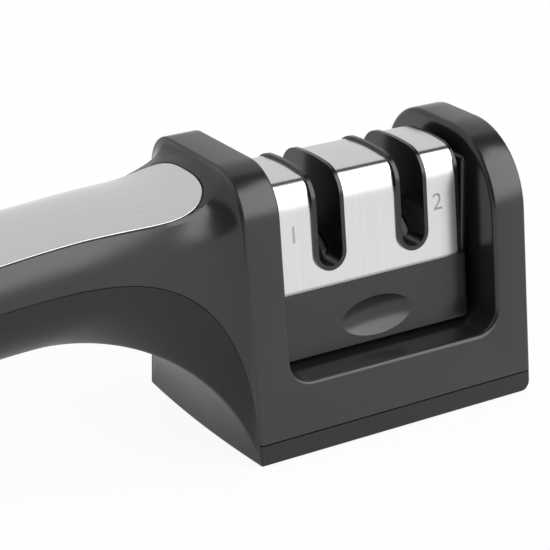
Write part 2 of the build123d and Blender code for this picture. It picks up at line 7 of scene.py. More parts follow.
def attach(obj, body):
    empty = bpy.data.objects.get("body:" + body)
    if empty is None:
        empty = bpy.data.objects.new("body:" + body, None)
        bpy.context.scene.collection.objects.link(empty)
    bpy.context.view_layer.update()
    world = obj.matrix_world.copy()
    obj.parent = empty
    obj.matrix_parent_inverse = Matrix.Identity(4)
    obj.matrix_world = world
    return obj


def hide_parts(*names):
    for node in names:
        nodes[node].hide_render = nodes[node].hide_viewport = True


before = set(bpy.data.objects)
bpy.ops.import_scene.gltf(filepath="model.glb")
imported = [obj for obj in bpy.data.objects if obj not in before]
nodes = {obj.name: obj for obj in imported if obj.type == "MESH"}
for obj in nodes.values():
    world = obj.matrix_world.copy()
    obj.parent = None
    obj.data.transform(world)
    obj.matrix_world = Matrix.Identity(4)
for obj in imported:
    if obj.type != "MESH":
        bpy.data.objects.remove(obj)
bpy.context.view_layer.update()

# ---------------------------------------------------------------------------
# Frame: the U that carries the cartridge, and the flare that its left side runs out in. Both
# casings are injection moulded ABS about 2 mm thick, screwed together from below. Sizes in mm.

LEFT, RIGHT = -40.0, 40.36
HALF, FOOT = 28.7, 0.5  # half depth at the foot, and the foot's height over the table
LEAN = radians(5.2)  # the near and the far face lean in
SLOPE = tan(LEAN)
STAND = pi / 2 - LEAN
FACE_WAY = Vector((0, -cos(LEAN), sin(LEAN)))
LEFT_TOP, RIGHT_TOP = 72.0, 67.96
# Shoulder rounds of the left and the right upright, larger in front than behind
SHOULDERS = {"near": (13.0, 20.9), "far": (9.5, 15.5)}
shoulders = list(SHOULDERS["near"])
RAIL = 18.7
MOUTH_LEFT, MOUTH_RIGHT = -30.2, 30.6
MOUTH_CORNER = 6.0
MOUTH_ROUND, RIGHT_MOUTH_ROUND = 0.8, 1.3
OUTER_ROUND = 0.8
WALL_SINK = 1.6
STRIP, SEAM = 5.75, 0.32  # height and width of the parting line on the frame
FOOT_ROUND = 0.4
FLARE = 48.0  # reach from the frame at which the flare has run out
FOOT_SPAN = 0.06  # share of an outline's count that the foot's round takes
# Flare's run at the counts 0 to 11 of its outline: short on top, long at the foot
FLARE_RUNS = [17, 17, 19.5, 22, 24.5, 27, 33.3, 38.55, 43.8, 48, 48, 48]
FOOT_BULGE = 1.2

# Handle: heights and half width at the frame, and the crown under the steel plate
GRIP_TOP, GRIP_WAIST, GRIP_BOTTOM = 62.7, 51.5, 34.3
GRIP_WIDE, GRIP_CROWN = 18.0, 2.6
GRIP_SIDE = radians(22)
SEEN = 62.0  # reach past which the handle lies outside the photograph
GRIP_LEVEL, LEVEL_REACH = 32.0, 89.2  # its underside runs out level there
END, END_ROUND = 135.0, 17.0


def face_y(z):
    return HALF - SLOPE * (z - FOOT)


def rolled(corner, first, second, radius, share):
    """Point and normal on the round of an edge between two faces with those normals."""
    centre = corner - (first + second) * (radius / (1 + first.dot(second)))
    turn = acos(max(-1.0, min(1.0, first.dot(second))))
    if turn < 1e-6:
        return corner.copy(), first.copy()
    way = (first * sin((1 - share) * turn) + second * sin(share * turn)) / sin(turn)
    return centre + way * radius, way


def between(marks, u):
    """Value at u on a line through marks, the last one past its end."""
    for (u_a, value_a), (u_b, value_b) in zip(marks, marks[1:]):
        if u <= u_b:
            return value_a + (value_b - value_a) * (u - u_a) / (u_b - u_a)
    return marks[-1][1]


def upright_outline(top, radius, u):
    """Half side view of an upright: u 0 to 1 along its top, to 4 round its shoulder, down to 9
    and along its foot to 11."""
    centre_y = face_y(top) - radius * tan(STAND / 2)
    centre_z = top - radius
    if u <= 1:
        return centre_y * u, top
    if u <= 4:
        angle = STAND * (u - 1) / 3
        return centre_y + radius * sin(angle), centre_z + radius * cos(angle)
    end_z = centre_z + radius * cos(STAND)
    marks = [(4, end_z), (5, (end_z + 32) / 2), (6, 32.0), (7, 21.33), (8, 10.67), (9, FOOT)]
    if u < 9 - FOOT_SPAN:
        z = between(marks, u)
        return face_y(z), z
    if u <= 9 + FOOT_SPAN:
        side = Vector((0, cos(LEAN), sin(LEAN)))
        share = (u - 9 + FOOT_SPAN) / (2 * FOOT_SPAN)
        point = rolled(Vector((0, HALF, FOOT)), side, Vector((0, 0, -1)), FOOT_ROUND, share)[0]
        return point.y, point.z
    inner = HALF - FOOT_ROUND
    return inner * (11 - u) / (2 - FOOT_SPAN), FOOT


def outline_way(u):
    """Direction that an upright's outline faces on the near side, down to its near face."""
    angle = STAND * min(max(u - 1, 0) / 3, 1)
    return Vector((0, -sin(angle), cos(angle)))


def settle(reach, start, run, straight=80.0):
    """Square of the share of a run that the reach has covered, straight on past a reach."""
    share, last = max((reach - start) / run, 0.0), (straight - start) / run
    return last * (2 * share - last) if share > last else share ** 2


def grip_edge(reach):
    """Half width of the handle's top, up to the corner beside the steel plate."""
    return 17.9 - 2.65 * min(reach / 38, 1) - 2.6 * settle(reach, 45, 90)


def waist_height(reach):
    """Height at which the handle is widest, and where the two casings part."""
    return GRIP_WAIST - 9 * settle(reach, 40, 62, SEEN)


def grip_outline(u, reach):
    """Half section of the handle's own form: u 0 to 1 over its crown, to 5 down to its waist and
    to 11 round its underside."""
    top = GRIP_TOP - 12 * settle(reach, 21, 88)
    waist = waist_height(reach)
    if reach <= SEEN:
        bottom = GRIP_BOTTOM - 9 * settle(reach, 46, 52)
    else:
        bottom = GRIP_LEVEL + 0.001957 * max(LEVEL_REACH - reach, 0.0) ** 2
    edge = grip_edge(reach)
    wide = GRIP_WIDE - 2.6 * settle(reach, 45, 90)
    if u <= 1:
        y, z = edge * u, top + GRIP_CROWN * (1 - u * u)
    elif u <= 5:
        turn = GRIP_SIDE * (5 - u) / 4
        y = edge + (wide - edge) * (cos(turn) - cos(GRIP_SIDE)) / (1 - cos(GRIP_SIDE))
        z = waist + (top - waist) * sin(turn) / sin(GRIP_SIDE)
    else:
        turn = (u - 5) * pi / 11 if u <= 9 else (4 + (u - 9) * 0.75) * pi / 11
        y = wide * max(cos(turn), 0.0) ** 0.9
        z = waist - (waist - bottom) * sin(turn) ** 0.9
    share = min(max((reach - END + END_ROUND) / END_ROUND, 0.0), 1.0)
    left = sqrt(max(1 - share ** 2, 0.0))
    return y * left, waist + (z - waist) * left


def body_point(u, reach):
    """Point on the flare or the handle, near side."""
    index = min(int(u), 10)
    run = FLARE_RUNS[index] + (FLARE_RUNS[index + 1] - FLARE_RUNS[index]) * (u - index)
    share = min(max(reach / run, 0.0), 1.0)
    left = 1 - sqrt(max(1 - (1 - share) ** 2, 0.0))
    frame_y, frame_z = upright_outline(LEFT_TOP, shoulders[0], u)
    grip_y, grip_z = grip_outline(u, reach)
    bulge = 0.0
    if frame_z < RAIL:
        low = 1 - frame_z / RAIL
        bulge = FOOT_BULGE * low * (1 - (frame_y / HALF) ** 2) * max(1 - reach / FLARE, 0.0) ** 2
    return Vector((
        LEFT - reach - bulge,
        -(grip_y + (frame_y - grip_y) * left),
        grip_z + (frame_z - grip_z) * left,
    ))


def body_normal(u, reach):
    step_u, step_r = 0.01, 0.02 + reach * 0.001
    low_u, high_u = max(u - step_u, 0.0), min(u + step_u, 11.0)
    along = body_point(high_u, reach) - body_point(low_u, reach)
    if u < step_u or u > 11 - step_u:
        along = Vector((0, along.y, 0))
    low_r = max(reach - step_r, 0.0)
    out = body_point(u, reach + step_r) - body_point(u, low_r)
    way = out.cross(along)
    way.normalize()
    return way


def seam_height(reach):
    """Height of the line where the two casings part, along the flare."""
    share = min(reach / FLARE, 1.0)
    return STRIP + (waist_height(reach) - STRIP) * (1 - (1 - share) ** 2.9) ** (1 / 2.9)


def turning_point(low, high, past, steps=40):
    """Value between low and high at which past turns true."""
    for _ in range(steps):
        middle = (low + high) / 2
        if past(middle):
            high = middle
        else:
            low = middle
    return (low + high) / 2


def seam_place(reach):
    """Place of the parting line in the section at a distance from the frame."""
    if reach >= FLARE:
        return 5.0
    target = seam_height(reach)
    return turning_point(4.0, 9.0, lambda u: body_point(u, reach).z <= target)


# Radius of the crease between the left upright's strip and the flare
CREASE = [(0, 0.6), (1.8, 0.5), (3.6, 0.4), (4.6, 0.5), (6, 0.8), (8.4, 0.8), (9, 0.5), (11, 0.5)]
ROLL_STEPS = 6
FLARE_ROWS = 44


def start_reach(u):
    """Reach at which the flare has drawn in by the crease's radius."""
    corner = body_point(u, 0)
    wanted = between(CREASE, u)

    def past(reach):
        here = body_point(u, reach)
        return hypot(here.y - corner.y, here.z - corner.z) > wanted

    return turning_point(0.0, 8.0, past)


def flare_rows(u):
    """Reaches of the flare's rows: dense where it leaves the frame."""
    first = sqrt(start_reach(u))
    even = [sqrt(FLARE) * k / FLARE_ROWS for k in range(FLARE_ROWS + 1)]
    joined = 14
    rows = [first + (even[joined] - first) * k / joined for k in range(joined)] + even[joined:]
    return [value ** 2 for value in rows]


GRIP_ROWS = [FLARE + (END - END_ROUND - FLARE) * k / 20 for k in range(1, 21)]
GRIP_ROWS += [END - END_ROUND + END_ROUND * sin(pi / 2 * k / 14) for k in range(1, 15)]


def crease_points(u):
    """Points of the rolled crease, from the upright's strip to the flare's first row."""
    radius = between(CREASE, u)
    corner = body_point(u, 0)
    start = corner + Vector((radius, 0, 0))
    reach = start_reach(u)
    end = body_point(u, reach)
    tangent = body_point(u, reach + 0.02) - end
    tangent.normalize()
    a = start - Vector((radius * 0.55, 0, 0))
    b = end - tangent * (radius * 0.55)
    points = []
    for k in range(ROLL_STEPS):
        t = k / ROLL_STEPS
        s = 1 - t
        points.append(start * s ** 3 + a * (3 * s * s * t) + b * (3 * s * t * t) + end * t ** 3)
    return points


def column(u_of_reach, u_start):
    """One column of the left side: crease, flare and handle. u_of_reach gives its place."""
    points = crease_points(u_start)
    for reach in flare_rows(u_start):
        points.append(body_point(u_of_reach(reach), reach))
    for reach in GRIP_ROWS:
        points.append(body_point(u_of_reach(reach), reach))
    return points


def link_piece(name, mesh):
    piece = bpy.data.objects.new(name, mesh)
    bpy.context.scene.collection.objects.link(piece)
    return piece


def smooth_piece(name, bm):
    """Piece from a finished bmesh, shaded smooth except at edges over 35 degrees."""
    mesh = bpy.data.meshes.new(name)
    bm.to_mesh(mesh)
    bm.free()
    for polygon in mesh.polygons:
        polygon.use_smooth = True
    mesh.set_sharp_from_angle(angle=radians(35.0))
    return link_piece(name, mesh)


def make_piece(name, points, faces):
    """Piece from points in mm and faces, with doubles joined and all faces turned outward."""
    bm = bmesh.new()
    made = [bm.verts.new(Vector(p) * 0.001) for p in points]
    for face in faces:
        loop = []
        for index in face:
            if made[index] not in loop:
                loop.append(made[index])
        if len(loop) > 2:
            try:
                bm.faces.new(loop)
            except ValueError:
                pass
    bmesh.ops.remove_doubles(bm, verts=bm.verts, dist=2e-6)
    bmesh.ops.dissolve_degenerate(bm, dist=1e-7, edges=bm.edges)
    loose = [v for v in bm.verts if not v.link_faces]
    bmesh.ops.delete(bm, geom=loose, context="VERTS")
    bmesh.ops.recalc_face_normals(bm, faces=bm.faces)
    return smooth_piece(name, bm)


class Net:
    """Points and faces of one piece."""

    def __init__(self):
        self.points = []
        self.faces = []

    def add(self, points):
        first = len(self.points)
        self.points.extend(Vector(p) for p in points)
        return list(range(first, first + len(points)))

    def grid(self, lines, flip=False):
        indices = [self.add(line) for line in lines]
        for a, b in zip(indices, indices[1:]):
            for k in range(len(a) - 1):
                face = (a[k], b[k], b[k + 1], a[k + 1])
                self.faces.append(tuple(reversed(face)) if flip else face)

    def patch(self, loop, flip=False):
        face = self.add(loop)
        self.faces.append(tuple(reversed(face)) if flip else tuple(face))

    def join(self, other, turned=False):
        """Takes in another net, turned to the far side if asked."""
        count = len(self.points)
        way = -1 if turned else 1
        self.points += [Vector((p.x, way * p.y, p.z)) for p in other.points]
        for face in other.faces:
            face = [i + count for i in face]
            self.faces.append(tuple(reversed(face) if turned else face))


def both_sides(build):
    """Net of the near half as built, and of the far half with the far side's shoulders."""
    whole = Net()
    for side in ("near", "far"):
        shoulders[:] = SHOULDERS[side]
        whole.join(build(), turned=side == "far")
    shoulders[:] = SHOULDERS["near"]
    return whole


# Stations down the left upright's strip, where the crease's columns start
seam_start = 8.0 + (10.67 - STRIP) / (10.67 - FOOT)
half_seam = SEAM / 2 / (10.67 - FOOT)
shoulder_us = [1 + 3 * k / 14 for k in range(15)]
top_us = [k / 5 for k in range(5)]
upper_us = top_us + shoulder_us + [4 + 4.4 * k / 16 for k in range(1, 17)]
upper_us = [u for u in upper_us if u < seam_start - 0.05] + [seam_start - half_seam]
lower_us = [seam_start + half_seam, 8.6, 8.7, 8.76, 8.82, 8.88, 9 - FOOT_SPAN, 9 - FOOT_SPAN / 2]
lower_us += [9.0, 9 + FOOT_SPAN / 2, 9 + FOOT_SPAN]
lower_us += [9.2, 9.4, 9.6, 9.8, 10.0, 10.2, 10.4, 10.6, 10.8, 11.0]


def upper_place(u_start):
    """How an upper column's place shifts with the parting line."""
    if u_start <= 1.0:
        return lambda reach: u_start
    share = (u_start - 1) / (seam_start - half_seam - 1)
    return lambda reach: 1 + (seam_place(reach) - half_seam - 1) * share


def lower_place(u_start):
    if u_start >= 9 + FOOT_SPAN:
        return lambda reach: u_start
    share = (u_start - seam_start - half_seam) / (9 + FOOT_SPAN - seam_start - half_seam)
    return lambda reach: (seam_place(reach) + half_seam) * (1 - share) + (9 + FOOT_SPAN) * share


def mouth_stations():
    """Edge of the opening on the near side: corner point, outward normal, wall normal."""
    stations = []
    for u in upper_us:
        y, z = upright_outline(LEFT_TOP, shoulders[0], u)
        if z < RAIL + MOUTH_CORNER:
            break
        stations.append((Vector((MOUTH_LEFT, -y, z)), outline_way(u), Vector((1, 0, 0))))
    z = RAIL + MOUTH_CORNER
    stations.append((Vector((MOUTH_LEFT, -face_y(z), z)), FACE_WAY, Vector((1, 0, 0))))
    for k in range(1, 9):
        a = pi / 2 * k / 8
        x = MOUTH_LEFT + MOUTH_CORNER * (1 - cos(a))
        z = RAIL + MOUTH_CORNER * (1 - sin(a))
        stations.append((Vector((x, -face_y(z), z)), FACE_WAY, Vector((cos(a), 0, sin(a)))))
    for k in range(0, 9):
        a = pi / 2 * (8 - k) / 8
        x = MOUTH_RIGHT - MOUTH_CORNER * (1 - cos(a))
        z = RAIL + MOUTH_CORNER * (1 - sin(a))
        stations.append((Vector((x, -face_y(z), z)), FACE_WAY, Vector((-cos(a), 0, sin(a)))))
    for u in [4.0] + shoulder_us[-2::-1] + top_us[::-1]:
        y, z = upright_outline(RIGHT_TOP, shoulders[1], u)
        stations.append((Vector((MOUTH_RIGHT, -y, z)), outline_way(u), Vector((-1, 0, 0))))
    return stations


def side_stations(z_low):
    """Outer right edge on the near side, from the top down to a height."""
    stations = []
    for u in top_us + shoulder_us:
        y, z = upright_outline(RIGHT_TOP, shoulders[1], u)
        stations.append((Vector((RIGHT, -y, z)), outline_way(u)))
    stations.append((Vector((RIGHT, -face_y(z_low), z_low)), FACE_WAY))
    return stations


def build_upper():
    """Near half of the frame above the parting line, and the columns of the flare and handle."""
    net = Net()
    stations = mouth_stations()
    left_count = len([s for s in stations if s[2].x > 0.999])
    rolls = []
    for corner, way, wall in stations:
        share = min(max((corner.x - MOUTH_LEFT) / (MOUTH_RIGHT - MOUTH_LEFT), 0), 1)
        radius = MOUTH_ROUND + (RIGHT_MOUTH_ROUND - MOUTH_ROUND) * share
        rolls.append([rolled(corner, way, wall, radius, k / 6)[0] for k in range(7)])
    net.grid(rolls)
    top = STRIP + SEAM / 2
    # Left upright's strip, from the crease to the opening's edge
    starts = [crease_points(u)[0] for u in upper_us]
    net.grid([[starts[k], rolls[k][0]] for k in range(left_count - 1)], flip=True)
    # Near face: left column, rail and right column as one flat outline
    outer = []
    for corner, way in side_stations(top):
        side = [rolled(corner, way, Vector((1, 0, 0)), OUTER_ROUND, k / 5)[0] for k in range(6)]
        outer.append(side)
    right_start = len(rolls) - len(top_us + shoulder_us)
    flat = starts[left_count - 2:] + [outer[-1][0], outer[-2][0]]
    flat += [roll[0] for roll in reversed(rolls[left_count - 2:right_start + 1])]
    net.patch(flat)
    # Right upright's strip
    inner = [roll[0] for roll in rolls[right_start:]]
    edge = [line[0] for line in reversed(outer[:-1])]
    net.grid([[a, b] for a, b in zip(inner, edge)])
    net.grid(outer, flip=True)
    # Inner walls, the rail's top and the right outer face
    walls = [roll[-1] for roll in rolls]
    net.grid([[w, Vector((w.x, 0, w.z))] for w in walls])
    net.grid([[line[-1], Vector((line[-1].x, 0, line[-1].z))] for line in outer], flip=True)
    # Rim along the strip
    rim = [starts[-1]] + outer[-1] + [Vector((outer[-1][-1].x, 0, top))]
    ledge = []
    for p in rim:
        ledge.append(Vector((min(p.x, RIGHT - WALL_SINK), min(p.y + WALL_SINK, 0), top)))
    net.grid([rim, ledge, [p + Vector((0, 0, -1.2)) for p in ledge]])
    return net, [column(upper_place(u), u) for u in upper_us]


# Recess of the steel plate: its reach, the lengths that its two ends are rounded over, and the gap
PLATE_FIRST, PLATE_LAST = 2.8, 126.0
TIP_ROUND, END_TIP_ROUND = 24, 14
PLATE_MARGIN = 0.14
INLAY_GAP = 0.28


def inlay_half(reach, grow):
    """Half width of the plate's outline at a reach, grown by a gap."""
    first, last = PLATE_FIRST - grow, PLATE_LAST + grow
    if reach <= first or reach >= last:
        return 0.0
    half = grip_edge(reach) - PLATE_MARGIN + grow
    near = min(max((first + TIP_ROUND - reach) / TIP_ROUND, 0), 1)
    far = min(max((reach - last + END_TIP_ROUND) / END_TIP_ROUND, 0), 1)
    return half * (1 - near ** 3.6) ** (1 / 3.6) * sqrt(1 - far ** 2)


def place_at(y, reach):
    """Place in the section where the half width is y."""
    return turning_point(0.0, 1.9, lambda u: -body_point(u, reach).y > y, steps=36)


def inlay_loop(grow):
    """Outline of the plate, near side, from its front tip to its rear tip, as place and reach."""
    first, last = PLATE_FIRST - grow, PLATE_LAST + grow
    ends = TIP_ROUND + END_TIP_ROUND
    reaches = [cos(pi / 2 * (k / 30) ** 1.7) ** (1 / 1.8) for k in range(31)]
    reaches = [first + TIP_ROUND * (1 - share) for share in reaches]
    reaches += [first + TIP_ROUND + (last - ends - first) * k / 40 for k in range(1, 40)]
    reaches += [last - END_TIP_ROUND * (1 - cos(pi / 2 * k / 14)) for k in range(14, -1, -1)]
    loop = []
    for reach in reaches:
        half = inlay_half(reach, grow)
        loop.append((place_at(half, reach) if half > 1e-6 else 0.0, reach))
    return loop


def inside(loop, x, y):
    """Whether a point lies inside a closed loop."""
    hit = False
    for (xa, ya), (xb, yb) in zip(loop, loop[1:] + loop[:1]):
        if (ya > y) != (yb > y) and x < xa + (y - ya) * (xb - xa) / (yb - ya):
            hit = not hit
    return hit


FLAT_WIDE = 16.0  # mm that a place of 1 stands for in the flat triangle net
TOP_COLUMNS = len([u for u in upper_us if u <= 1.45])
# Rows of the columns that the triangle net runs between
ROW_FIRST, ROW_LAST = 3, len(flare_rows(0.0) + GRIP_ROWS) - 4


def build_top():
    """Skin round the plate's recess: a triangle net between its outline and the columns."""
    net = Net()
    flat, where, kept = [], {}, {}

    def put(u, reach):
        key = (round(u, 7), round(reach, 7))
        if key not in where:
            where[key] = len(flat)
            flat.append((u, reach))
        return where[key]

    loops = {}
    for side in SHOULDERS:
        shoulders[:] = SHOULDERS[side]
        loops[side] = inlay_loop(INLAY_GAP)
    hole = [(u * FLAT_WIDE, r) for u, r in loops["near"]]
    hole += [(-u * FLAT_WIDE, r) for u, r in reversed(loops["far"][1:-1])]
    last = TOP_COLUMNS - 1
    for side, sign in (("near", 1), ("far", -1)):
        shoulders[:] = SHOULDERS[side]
        for c, start in enumerate(upper_us[:TOP_COLUMNS]):
            place = upper_place(start)
            rows = flare_rows(start) + GRIP_ROWS
            for k in range(ROW_FIRST, ROW_LAST + 1):
                u = place(rows[k])
                if k not in (ROW_FIRST, ROW_LAST) and c != last:
                    if -body_point(u, rows[k]).y < inlay_half(rows[k], 1.0) + 0.25:
                        continue
                    if inside(hole, u * sign * FLAT_WIDE, rows[k]):
                        continue
                kept[(sign, c, k)] = put(u * sign, rows[k])
    border = []
    for sign in (1, -1):
        for k in range(ROW_FIRST, ROW_LAST):
            border.append((kept[(sign, last, k)], kept[(sign, last, k + 1)]))
        for k in (ROW_FIRST, ROW_LAST):
            border += [(kept[(sign, c, k)], kept[(sign, c + 1, k)]) for c in range(last)]
    hole_ids = [put(x / FLAT_WIDE, r) for x, r in hole]
    border += list(zip(hole_ids, hole_ids[1:] + hole_ids[:1]))
    border = [pair for pair in border if pair[0] != pair[1]]
    coords = [Vector((u * FLAT_WIDE, r)) for u, r in flat]
    verts, _, faces, sources, _, _ = delaunay_2d_cdt(coords, border, [], 0, 1e-6)
    ring = [kept[(1, c, ROW_FIRST)] for c in range(last + 1)]
    ring += [kept[(1, last, k)] for k in range(ROW_FIRST + 1, ROW_LAST + 1)]
    ring += [kept[(1, c, ROW_LAST)] for c in range(last - 1, -1, -1)]
    ring += [kept[(-1, c, ROW_LAST)] for c in range(1, last + 1)]
    ring += [kept[(-1, last, k)] for k in range(ROW_LAST - 1, ROW_FIRST, -1)]
    ring += [kept[(-1, c, ROW_FIRST)] for c in range(last, 0, -1)]
    outline = [(flat[i][0] * FLAT_WIDE, flat[i][1]) for i in ring]
    spots = []
    for vert, source in zip(verts, sources):
        u, reach = flat[source[0]] if source else (vert.x / FLAT_WIDE, vert.y)
        shoulders[:] = SHOULDERS["far" if u < 0 else "near"]
        point = body_point(abs(u), reach)
        if u < 0:
            point.y = -point.y
        spots.append(point)
    shoulders[:] = SHOULDERS["near"]
    ids = net.add(spots)
    for face in faces:
        x = sum(verts[i].x for i in face) / len(face)
        y = sum(verts[i].y for i in face) / len(face)
        if inside(outline, x, y) and not inside(hole, x, y):
            corners = [spots[i] for i in face]
            way = (corners[1] - corners[0]).cross(corners[2] - corners[0])
            order = [ids[i] for i in face]
            net.faces.append(tuple(order if way.z > 0 else reversed(order)))
    return net


def build_seam_rim(net, u_start, place, sign, sink):
    """Rim of a casing along the flare's and handle's parting line: over the edge and inward."""
    points = column(place, u_start)[ROLL_STEPS:]
    rows = [points, [], []]
    for index, reach in enumerate(flare_rows(u_start) + GRIP_ROWS):
        out = body_normal(place(reach), min(reach, END - 0.5))
        along = points[min(index + 1, len(points) - 1)] - points[max(index - 1, 0)]
        along.normalize()
        side = out.cross(along) * sign
        side.normalize()
        rows[1].append(points[index] - out * 0.08 + side * 0.02)
        rows[2].append(points[index] - out * sink + side * 0.02)
    net.grid(rows, flip=sign > 0)


def build_upper_half():
    net, columns = build_upper()
    net.grid(columns[TOP_COLUMNS - 1:])
    net.grid([line[:ROLL_STEPS + ROW_FIRST + 1] for line in columns[:TOP_COLUMNS]])
    net.grid([line[ROLL_STEPS + ROW_LAST:] for line in columns[:TOP_COLUMNS]])
    build_seam_rim(net, upper_us[-1], upper_place(upper_us[-1]), 1, 0.7)
    # Wall of the plate's recess and its floor's border
    rows = [[], [], []]
    for u, reach in inlay_loop(INLAY_GAP):
        point, way = body_point(u, reach), body_normal(u, reach)
        rows[0].append(point)
        rows[1].append(point - way * 1.1)
        rows[2].append(Vector((point.x, point.y * 0.93, point.z)) - way * 1.1)
    net.grid(rows)
    return net


upper_net = both_sides(build_upper_half)
upper_net.join(build_top())
upper = make_piece("frame_and_handle_top", upper_net.points, upper_net.faces)
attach(upper, "frame")
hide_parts("upper_shell")


def linear(code):
    """Linear colour of an sRGB hex code."""
    parts = [int(code[k:k + 2], 16) / 255 for k in (1, 3, 5)]
    return [p / 12.92 if p <= 0.04045 else ((p + 0.055) / 1.055) ** 2.4 for p in parts] + [1.0]


def plug(node, sockets):
    """Gives a node's sockets their values or links."""
    for key, value in sockets.items():
        if isinstance(value, bpy.types.NodeSocket):
            node.id_data.links.new(value, node.inputs[key])
        else:
            node.inputs[key].default_value = value


def add_node(tree, kind, sockets=None, **settings):
    made = tree.nodes.new(kind)
    for key, value in settings.items():
        setattr(made, key, value)
    plug(made, sockets or {})
    return made


def start_material(name):
    """New material, its tree and shader, and the object's own coordinates for its textures."""
    material = bpy.data.materials.new(name)
    material.use_nodes = True
    tree = material.node_tree
    shader = tree.nodes["Principled BSDF"]
    coords = add_node(tree, "ShaderNodeTexCoord")
    return material, tree, shader, coords.outputs["Object"]


def moulded_plastic(name, low, high, roughness, grain_mm, depth_mm):
    """Injection moulded plastic: an even colour that varies a little from place to place, a fine
    spark-eroded texture that softens the gloss, and patches polished by handling."""
    material, tree, shader, place = start_material(name)
    patches = add_node(tree, "ShaderNodeTexNoise", {
        "Vector": place, "Scale": 1000 / 22, "Detail": 3.0})
    colour = add_node(tree, "ShaderNodeMix", {
        "Factor": patches.outputs["Fac"], "A": linear(low), "B": linear(high)}, data_type="RGBA")
    gloss = add_node(tree, "ShaderNodeMapRange", {
        "Value": patches.outputs["Fac"], "From Min": 0.3, "From Max": 0.7,
        "To Min": roughness - 0.025, "To Max": roughness + 0.025})
    grain = add_node(tree, "ShaderNodeTexNoise", {
        "Vector": place, "Scale": 1000 / grain_mm, "Detail": 2.0})
    bump = add_node(tree, "ShaderNodeBump", {
        "Height": grain.outputs["Fac"], "Strength": 0.5, "Distance": depth_mm / 1000})
    plug(shader, {
        "Base Color": colour.outputs["Result"], "Roughness": gloss.outputs["Result"],
        "Normal": bump.outputs["Normal"], "IOR": 1.54})
    return material


def dress(piece, material):
    piece.data.materials.clear()
    piece.data.materials.append(material)


# Satin ABS: the mould's texture gives soft, wide highlights on a near black body. The real
# texture is about 0.15 mm wide, drawn at 0.5 mm so that it shows.
satin_abs = moulded_plastic("satin_black_abs", "#1c1c1c", "#202020", 0.23, 0.5, 0.004)
dress(upper, satin_abs)

# ---------------------------------------------------------------------------
# Lower casing: base strip round the frame's foot, underside of the flare and the grip. Moulded ABS
# with a soft-touch coating, parted from the upper casing by a fine groove.


FOOT_CORNER, RIGHT_FOOT_ROUND = 0.9, 2.5  # rounds of the strip's right corner and its foot
PAD_X, PAD_Y, PAD_ROUND, PAD_DEEP = 35.0, 23.7, 6.0, 0.9  # recess for the rubber pad


def build_lower():
    """Near half of the lower casing: flare and handle, strip round the foot, and underside."""
    net = Net()
    net.grid([column(lower_place(u), u) for u in lower_us])
    build_seam_rim(net, lower_us[0], lower_place(lower_us[0]), -1, 0.6)
    # Strip round the frame's foot: near face, right corner and right face
    turns = [pi / 2 * k / 8 for k in range(9)]
    count = len([u for u in lower_us if u <= 9 + FOOT_SPAN])
    profile = [upright_outline(LEFT_TOP, shoulders[0], u) for u in lower_us[:count]]
    starts = [crease_points(u)[0] for u in lower_us]
    lines = [starts[:count]]
    for a in turns:
        line = []
        for y, z in profile:
            drop = max(RIGHT_FOOT_ROUND + FOOT - z, 0.0)
            sag = RIGHT_FOOT_ROUND - sqrt(max(RIGHT_FOOT_ROUND ** 2 - drop ** 2, 0.0))
            x = RIGHT - sag - FOOT_CORNER * (1 - sin(a))
            line.append(Vector((x, FOOT_CORNER * (1 - cos(a)) - y, z)))
        lines.append(line)
    lines.append([Vector((p.x, 0, p.z)) for p in lines[-1]])
    net.grid(lines, flip=True)
    # Rim on top of the strip
    ring = [line[0] for line in lines]
    ledge = []
    for p in ring:
        ledge.append(p + Vector((-1.2 if p.x > 30 else 0, 1.2 if p.y < -1.2 else 0, 0)))
    net.grid([ring, ledge], flip=True)
    # Underside with the pad's recess
    outer = list(reversed(starts[count:])) + [line[-1] for line in lines]
    middle_x, middle_y = PAD_X - PAD_ROUND, PAD_Y - PAD_ROUND
    hole = [Vector((-PAD_X, 0, FOOT))]
    for a in turns:
        x, y = PAD_ROUND * cos(a), PAD_ROUND * sin(a)
        hole.append(Vector((-middle_x - x, -middle_y - y, FOOT)))
    for a in turns:
        x, y = PAD_ROUND * sin(a), PAD_ROUND * cos(a)
        hole.append(Vector((middle_x + x, -middle_y - y, FOOT)))
    hole.append(Vector((PAD_X, 0, FOOT)))
    net.patch(outer + list(reversed(hole)), flip=True)
    net.grid([hole, [p + Vector((0, 0, PAD_DEEP)) for p in hole]], flip=True)
    return net


lower_net = both_sides(build_lower)
lower = make_piece("frame_and_handle_bottom", lower_net.points, lower_net.faces)
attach(lower, "frame")
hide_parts("lower_shell")
# Soft-touch coating on ABS: matte and a little warm, with no sharp highlight
soft_touch = moulded_plastic("soft_touch_warm_black", "#161413", "#1a1816", 0.42, 0.6, 0.006)
plug(soft_touch.node_tree.nodes["Principled BSDF"], {"IOR": 1.42})
dress(lower, soft_touch)

# ---------------------------------------------------------------------------
# Plate in the handle's top: pressed stainless steel about 0.9 mm thick, let into a recess of the
# upper casing and glued, with a rolled edge.


PLATE_RISE, PLATE_EDGE = 0.1, 0.16  # height over the casing, and round of the edge
PLATE_THICK = 0.9


